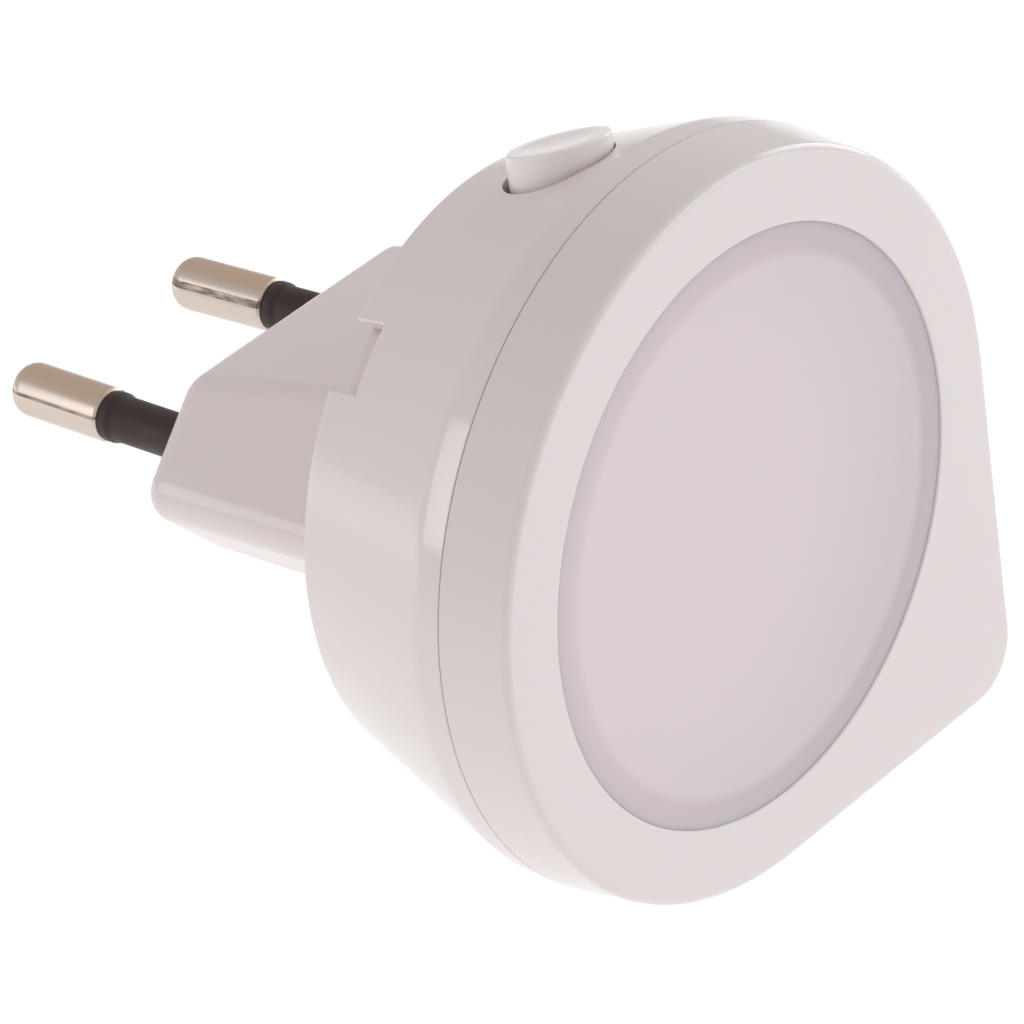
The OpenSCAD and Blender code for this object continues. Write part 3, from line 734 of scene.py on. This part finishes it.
def blend_colour(tree, factor, a, b):
    """Goes from one colour to the other as the factor says."""
    node = add(tree, "ShaderNodeMix", data_type="RGBA")
    tree.links.new(factor, node.inputs[0])
    node.inputs[6].default_value = (*a, 1)
    node.inputs[7].default_value = (*b, 1)
    return node.outputs[2]


def span(tree, factor, low, high):
    """Maps the middle of a noise onto a range."""
    node = add(tree, "ShaderNodeMapRange",
               {"From Min": 0.3, "From Max": 0.7, "To Min": low, "To Max": high})
    tree.links.new(factor, node.inputs["Value"])
    return node.outputs["Result"]


def bump(tree, height, depth, under=None):
    """A relief of that depth in metres, on top of another one."""
    node = add(tree, "ShaderNodeBump", {"Strength": 1.0, "Distance": depth})
    tree.links.new(height, node.inputs["Height"])
    if under:
        tree.links.new(under, node.inputs["Normal"])
    return node.outputs["Normal"]


def moulded(name, colour, gloss, tint, wave=6e-6, grain=4e-7, sockets=()):
    """Moulded plastic: a drifting tone, uneven gloss, a wavy skin and a fine grain. The
    shader's own sockets can be set as well."""
    mat, tree, shader = finish(name)
    low = [c * (1 - tint) for c in colour]
    high = [min(1, c * (1 + tint)) for c in colour]
    tree.links.new(blend_colour(tree, noise(tree, 60), low, high), shader.inputs["Base Color"])
    tree.links.new(span(tree, noise(tree, 220), gloss * 0.85, gloss * 1.15),
                   shader.inputs["Roughness"])
    skin = bump(tree, noise(tree, 110, 1.0), wave)
    skin = bump(tree, noise(tree, 5000, 3.0), grain, skin)
    tree.links.new(skin, shader.inputs["Normal"])
    for key, value in dict(sockets).items():
        shader.inputs[key].default_value = value
    return mat


print("helpers for finishes are ready")

# %% [markdown]
# The lamp's white is a warm one: glossy on the housing and the bezel, a little duller on
# the plug, which is moulded in another mould. The lens is opal plastic, so light enters it
# and comes out again nearby. Subsurface scattering does that, with a faint lilac cast.

# %% Plastic finishes
SOFT = {"Subsurface Weight": 0.08, "Subsurface Radius": (1.0, 0.7, 0.65),
        "Subsurface Scale": 0.0008}
OPAL = {"Subsurface Weight": 0.45, "Subsurface Radius": (1.0, 0.85, 0.9),
        "Subsurface Scale": 0.0025}
plastics = [
    moulded("shell_white", (0.832, 0.754, 0.752), 0.14, 0.012, sockets=SOFT),
    moulded("plug_white", (0.825, 0.745, 0.74), 0.22, 0.012, sockets=SOFT),
    moulded("button_white", (0.94, 0.875, 0.865), 0.2, 0.012, sockets=SOFT),
    moulded("sleeve_dark", (0.031, 0.012, 0.011), 0.5, 0.15, grain=3e-6)]
print("plastic finishes:", [mat.name for mat in plastics])

# %% [markdown]
# The lens has painted light in its colour. It is brightest left of its middle, and a painted
# shade makes it dimmer with the distance from there. Its outer ring is darker for two reasons:
# the plastic curves down to the flange, and a painted shade darkens the ring further, most on
# the side away from the bright spot. Both painted tones come from distances on Object
# coordinates, with the depth left out, so they follow the lens.

# %% Opal lens
# Painted light: where the lens's painted bright spot sits and how far it reaches, and the ring
# of painted shade near the lens's edge.
PAINTED_LIGHT_SPOT, PAINTED_LIGHT_REACH = (-10 * MM, 5 * MM), 29.4 * MM
PAINTED_SHADE_RING_MIDDLE, PAINTED_SHADE_RING_FROM, PAINTED_SHADE_RING_TO = (-0.2 * MM, 0.1 * MM), 18.7 * MM, 19.8 * MM


def distance_from(tree, x, z):
    """Distance from a line along Y, in metres."""
    where = add(tree, "ShaderNodeTexCoord").outputs["Object"]
    flat = add(tree, "ShaderNodeVectorMath", {1: (1, 0, 1)}, operation="MULTIPLY")
    tree.links.new(where, flat.inputs[0])
    node = add(tree, "ShaderNodeVectorMath", {1: (x, 0, z)}, operation="DISTANCE")
    tree.links.new(flat.outputs["Vector"], node.inputs[0])
    return node.outputs["Value"]


def overlay(tree, shader, layers):
    """Multiplies the base colour by a tone, as much as the tone's factor says."""
    drift = shader.inputs["Base Color"].links[0].from_socket
    for factor, tone in layers:
        mix = add(tree, "ShaderNodeMix", data_type="RGBA", blend_type="MULTIPLY")
        mix.inputs[7].default_value = (*tone, 1)
        tree.links.new(factor, mix.inputs[0])
        tree.links.new(drift, mix.inputs[6])
        drift = mix.outputs[2]
    tree.links.new(drift, shader.inputs["Base Color"])


def opal(name, bright, painted_falloff_shade, painted_edge_shade, gloss):
    """Opal plastic with a painted bright spot, and painted shade round it and on the outer
    ring.
    """
    mat = moulded(name, bright, gloss, 0.01, wave=4e-6, sockets=OPAL)
    tree, shader = opened(mat)
    away = add(tree, "ShaderNodeMapRange", {"From Max": PAINTED_LIGHT_REACH})
    tree.links.new(distance_from(tree, *PAINTED_LIGHT_SPOT), away.inputs["Value"])
    fall = add(tree, "ShaderNodeMath", {1: 2.2}, operation="POWER")
    most = add(tree, "ShaderNodeMapRange", {"To Min": 0.4})
    for node in (fall, most):
        tree.links.new(away.outputs["Result"], node.inputs[0])
    edge = add(tree, "ShaderNodeMapRange", {"From Min": PAINTED_SHADE_RING_FROM, "From Max": PAINTED_SHADE_RING_TO},
               interpolation_type="SMOOTHSTEP")
    tree.links.new(distance_from(tree, *PAINTED_SHADE_RING_MIDDLE), edge.inputs["Value"])
    tree.links.new(most.outputs["Result"], edge.inputs["To Max"])
    # Painted light and shade: the falloff from the bright spot and the shaded outer ring
    # darken the base colour.
    overlay(tree, shader, [(fall.outputs["Value"], painted_falloff_shade), (edge.outputs["Result"], painted_edge_shade)])
    return mat


# The milky lens, with painted light and painted shade in its colour.
milky_lens = opal("milky_lens", bright=(0.80, 0.69, 0.722), painted_falloff_shade=(0.82, 0.84, 0.86),
                  painted_edge_shade=(0.86, 0.84, 0.86), gloss=0.34)
print("lens finish:", milky_lens.name)

# %% [markdown]
# Nickel plating is almost a mirror. What makes it read as metal is the fine pattern of
# marks from drawing the wire, which run along the pin, so its noises are stretched along
# Y. One drives the colour and the relief, and another the gloss. A warmer painted reflection
# lies along the top of each pin, and a broken dark painted reflection runs along its side.

# %% Metal finishes


def drawn_metal(name, colour, gloss, stretch=(1, 1, 1), mark=0.12):
    """Metal with fine marks, which darken it here and there by as much as mark says."""
    mat, tree, shader = finish(name)
    marks = noise(tree, 2600, 4.0, stretch)
    dark = [c * (1 - mark) for c in colour]
    tree.links.new(blend_colour(tree, marks, dark, colour), shader.inputs["Base Color"])
    tree.links.new(span(tree, noise(tree, 400, 3.0, stretch), gloss * 0.7, gloss * 1.4),
                   shader.inputs["Roughness"])
    tree.links.new(bump(tree, marks, 1e-6), shader.inputs["Normal"])
    shader.inputs["Metallic"].default_value = 1.0
    shader.inputs["Anisotropic"].default_value = 0.3
    return mat


def painted_pin_reflections(mat, painted_top_reflection, top, line, middle, reach):
    """A painted reflection along the top, and a broken dark painted reflection that reaches as
    far to either side of the height middle. It lies a little higher on the right pin than on
    the left one, and is wider there."""
    tree, shader = opened(mat)
    height = add(tree, "ShaderNodeVectorMath", {1: (-0.0124, 0, 1)}, operation="DOT_PRODUCT")
    across = add(tree, "ShaderNodeVectorMath", {1: (0.0075, 0, 0)}, operation="DOT_PRODUCT")
    for node in (height, across):
        tree.links.new(add(tree, "ShaderNodeTexCoord").outputs["Object"], node.inputs[0])
    width = add(tree, "ShaderNodeMath", {1: reach}, operation="ADD")
    tree.links.new(across.outputs["Value"], width.inputs[0])
    above = add(tree, "ShaderNodeMapRange", {"From Min": top - reach, "From Max": top})
    on_line = add(tree, "ShaderNodeMath", {1: middle}, operation="COMPARE")
    tree.links.new(width.outputs["Value"], on_line.inputs[2])
    for node in (above, on_line):
        tree.links.new(height.outputs["Value"], node.inputs[0])
    broken = add(tree, "ShaderNodeMath", operation="MULTIPLY")
    tree.links.new(on_line.outputs["Value"], broken.inputs[0])
    gaps = span(tree, noise(tree, 3000, 4.0, (1, 0.2, 1)), 0.35, 1.0)
    tree.links.new(gaps, broken.inputs[1])
    # Painted reflections darken the base colour: a warmer tone along the top and a broken dark
    # line along the side.
    overlay(tree, shader, [(above.outputs["Result"], painted_top_reflection), (broken.outputs["Value"], line)])
    return mat


ALONG_Y, ALONG_Z = (1, 0.04, 1), (1, 1, 0.06)
# The nickel of the pins carries painted reflections along its top and its side.
metals = [
    painted_pin_reflections(drawn_metal("nickel", (0.745, 0.647, 0.574), 0.32, ALONG_Y),
           painted_top_reflection=(1.0, 0.87, 0.775), top=1.65 * MM,
           line=(0.1, 0.075, 0.06), middle=0.77 * MM, reach=0.2 * MM),
    drawn_metal("contact_brass", (0.80, 0.60, 0.28), 0.25, ALONG_Z),
    drawn_metal("spring_steel", (0.62, 0.62, 0.64), 0.22),
    drawn_metal("screw_zinc", (0.70, 0.71, 0.74), 0.24, mark=0.08)]
print("metals:", [mat.name for mat in metals])

# %% [markdown]
# The electronics are hidden, but they are finished too, for anyone who opens the lamp. A
# resistor is lacquered with coloured rings, and its leads are tinned wire. Both lie along
# Z, so the height along the resistor says where body, ring and lead are.

# %% Finishes inside the lamp
moulded("switch_nylon", (0.86, 0.86, 0.83), 0.40, 0.03)
moulded("switch_black", (0.020, 0.020, 0.022), 0.38, 0.2, grain=2e-6)
moulded("chip_black", (0.016, 0.016, 0.018), 0.48, 0.25, grain=3e-6)
moulded("capacitor_yellow", (0.72, 0.46, 0.06), 0.36, 0.06)
moulded("capacitor_sleeve", (0.018, 0.035, 0.11), 0.25, 0.12)
moulded("wire_red", (0.50, 0.035, 0.02), 0.35, 0.1)
moulded("wire_blue", (0.03, 0.06, 0.38), 0.35, 0.1)


def solder_mask(name):
    """White lacquer over copper tracks, which show as faint raised lines."""
    _, tree, shader = finish(name)
    where = add(tree, "ShaderNodeTexCoord")
    lines = add(tree, "ShaderNodeTexBrick", {
        "Scale": 420.0, "Color1": (1, 1, 1, 1), "Color2": (0.7, 0.7, 0.7, 1),
        "Mortar": (0, 0, 0, 1), "Mortar Size": 0.06, "Mortar Smooth": 0.3})
    mapping = add(tree, "ShaderNodeMapping", {"Rotation": (math.pi / 2, 0, 0)})
    tree.links.new(where.outputs["Object"], mapping.inputs["Vector"])
    tree.links.new(mapping.outputs["Vector"], lines.inputs["Vector"])
    tree.links.new(blend_colour(tree, lines.outputs["Fac"], (0.84, 0.84, 0.80),
                                (0.74, 0.76, 0.68)), shader.inputs["Base Color"])
    tree.links.new(span(tree, noise(tree, 900), 0.30, 0.42), shader.inputs["Roughness"])
    tree.links.new(bump(tree, lines.outputs["Color"], 0.03 * MM), shader.inputs["Normal"])


def phosphor(name):
    """The yellow cup of a white diode: grains of phosphor in clear resin."""
    _, tree, shader = finish(name)
    tree.links.new(blend_colour(tree, noise(tree, 9000, 3.0), (0.86, 0.62, 0.12),
                                (0.93, 0.78, 0.30)), shader.inputs["Base Color"])
    tree.links.new(span(tree, noise(tree, 3000), 0.25, 0.45), shader.inputs["Roughness"])
    shader.inputs["Coat Weight"].default_value = 0.5


TINNED = (0.60, 0.59, 0.57)
RING_WIDTH = 0.07


def lacquer(name, colour, middle, half, rings):
    """Lacquer between the ends of a resistor, coloured rings on it, tinned leads beyond.
    A ring is where it starts, from 0 to 1 along the resistor, and its colour."""
    _, tree, shader = finish(name)
    where = add(tree, "ShaderNodeTexCoord")
    split = add(tree, "ShaderNodeSeparateXYZ")
    tree.links.new(where.outputs["Object"], split.inputs["Vector"])
    along = add(tree, "ShaderNodeMapRange", {
        "From Min": (middle - half - 0.05) * MM, "From Max": (middle + half + 0.05) * MM})
    tree.links.new(split.outputs["Z"], along.inputs["Value"])
    ramp = add(tree, "ShaderNodeValToRGB")
    ramp.color_ramp.interpolation = "CONSTANT"
    stops = [(0.0, TINNED), (0.01, colour)]
    for start, ring in rings:
        stops += [(start, ring), (start + RING_WIDTH, colour)]
    stops.append((0.99, TINNED))
    while len(ramp.color_ramp.elements) < len(stops):
        ramp.color_ramp.elements.new(0.5)
    for element, (position, tone) in zip(ramp.color_ramp.elements, stops):
        element.position, element.color = position, (*tone, 1)
    tree.links.new(along.outputs["Result"], ramp.inputs["Fac"])
    tree.links.new(ramp.outputs["Color"], shader.inputs["Base Color"])
    tree.links.new(span(tree, noise(tree, 1500), 0.22, 0.34), shader.inputs["Roughness"])
    tree.links.new(bump(tree, noise(tree, 800), 0.02 * MM), shader.inputs["Normal"])


solder_mask("board_white")
phosphor("led_phosphor")
BLACK, BROWN, OCHRE = (0.01, 0.01, 0.01), (0.12, 0.04, 0.01), (0.45, 0.25, 0.04)
GOLD, YELLOW = (0.55, 0.38, 0.10), (0.55, 0.50, 0.04)
lacquer("resistor_green", (0.20, 0.28, 0.16), 6, 4.5,
        [(0.2, OCHRE), (0.36, BLACK), (0.52, BLACK), (0.76, GOLD)])
lacquer("resistor_blue", (0.16, 0.38, 0.55), 6.5, 3.15,
        [(0.16, BROWN), (0.32, BLACK), (0.48, BLACK), (0.64, YELLOW), (0.82, BROWN)])
print("finishes:", len(bpy.data.materials))

# %% [markdown]
# Now every piece gets its finish, the body it moves with and the node it stands for. The
# nodes that stay as they are only get a finish. The imported record says which slot each
# node takes, so the finishes above carry the same names as the slots. The return spring
# stands on the chamber's floor.

# %% Finishes and bodies
DRESSED = [
    ([bezel, *hooks], "front_bezel", "shell_white", "lamp"),
    ([lens], "diffuser_lens", "milky_lens", "lamp"),
    ([shell], "rear_housing", "shell_white", "lamp"),
    ([plug], "plug_insert", "plug_white", "lamp"),
    ([pin_left], "pin_left", "nickel", "lamp"),
    ([pin_right], "pin_right", "nickel", "lamp"),
    ([sleeve_left], "sleeve_left", "sleeve_dark", "lamp"),
    ([sleeve_right], "sleeve_right", "sleeve_dark", "lamp"),
    ([crown], "button_cap", "button_white", "button"),
    ([spring], "switch_spring", "spring_steel", "lamp")]
for pieces, node, slot, body in DRESSED:
    for piece in pieces:
        piece.data.materials.clear()
        piece.data.materials.append(bpy.data.materials[slot])
        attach(piece, body)
        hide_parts(node)
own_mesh(spring)

replaced = {node for _, node, _, _ in DRESSED}
for part in frame["record"]["subparts"]:
    if part["node"] not in replaced:
        obj = bpy.data.objects[part["node"]]
        obj.data.materials.clear()
        obj.data.materials.append(bpy.data.materials[part["material_slot"]])
        print(part["node"], "takes", part["material_slot"])

# %% [markdown]
# The camera looks from the upper left with a long lens, so the round face becomes an
# ellipse and the plug shows its slopes. Its place and turn came from the plug's standard
# sizes, and are given as three directions: right, down and forward.

# %% Camera
FOCAL = 245.4
EYE = Vector((-0.31174, -0.30840, 0.24176))
RIGHT = Vector((0.6235, -0.7728, -0.1187))
DOWN = Vector((-0.4575, -0.2375, -0.8569))
FORWARD = Vector((0.634, 0.5886, -0.5016))
deselect()
bpy.ops.object.camera_add()
camera = bpy.context.object
camera.name = "camera"
turned = Matrix((RIGHT, -DOWN, -FORWARD)).transposed().to_quaternion().to_matrix().to_4x4()
camera.matrix_world = Matrix.Translation(EYE) @ turned
camera.data.sensor_width = 36
camera.data.lens = FOCAL
camera.data.clip_start, camera.data.clip_end = 0.01, 20
bpy.context.scene.camera = camera
print("camera at", [round(c, 3) for c in EYE], "lens", camera.data.lens)

# %% [markdown]
# The lamp hangs by its pins, so the floor lies well below it, like the white table of a
# small studio, and glows a little of its own. A pale room, soft lights in front, at the
# right and behind, and a strip at the left do the rest. The strip is what draws the bright
# streak along the housing's land.

# %% Floor, room and lights
FLOOR_R, FLOOR_Z = 1.6, -0.13
deselect()
bpy.ops.mesh.primitive_circle_add(vertices=96, radius=FLOOR_R, fill_type="NGON",
                                  location=(0, 0, FLOOR_Z))
floor = bpy.context.object
floor.name = "floor"
bpy.ops.object.transform_apply(location=True, rotation=True, scale=True)
pale, tree, shader = finish("pale_floor")
tree.links.new(blend_colour(tree, noise(tree, 8), (0.84, 0.84, 0.84), (0.88, 0.88, 0.88)),
               shader.inputs["Base Color"])
shader.inputs["Roughness"].default_value = 0.7
shader.inputs["Emission Color"].default_value = (1, 1, 1, 1)
shader.inputs["Emission Strength"].default_value = 0.37
floor.data.materials.append(pale)

world = bpy.context.scene.world or bpy.data.worlds.new("room")
bpy.context.scene.world = world
world.use_nodes = True
room = world.node_tree.nodes["Background"]
room.inputs["Color"].default_value = (1.0, 0.98, 0.97, 1)
room.inputs["Strength"].default_value = 0.585


HEART = Vector((0, -0.025, 0))


def soft_light(name, where, width, height, power, colour=(1, 1, 1), roll=0):
    """A soft panel that shines at the lamp's heart, rolled by an angle in degrees."""
    deselect()
    bpy.ops.object.light_add(type="AREA", location=where)
    lamp = bpy.context.object
    lamp.name = name
    facing = (Vector(where) - HEART).to_track_quat("Z", "Y").to_matrix()
    lamp.rotation_euler = (facing @ Matrix.Rotation(math.radians(roll), 3, "Z")).to_euler()
    lamp.data.shape = "RECTANGLE"
    lamp.data.size, lamp.data.size_y = width, height
    lamp.data.energy, lamp.data.color = power, colour


soft_light("front_fill", (0.6, -0.65, 0.25), 0.5, 0.5, 1.46, (0.86, 0.975, 1.0))
soft_light("right_fill", (0.85, 0, 0.2), 0.5, 0.5, 1.8)
soft_light("left_strip", (-0.456, 0.382, 0.2), 0.075, 0.33, 0.29, roll=15)
soft_light("back_fill", (-0.25, 0.65, -0.1), 0.6, 0.18, 0.24)
bpy.context.scene.view_settings.view_transform = "Standard"
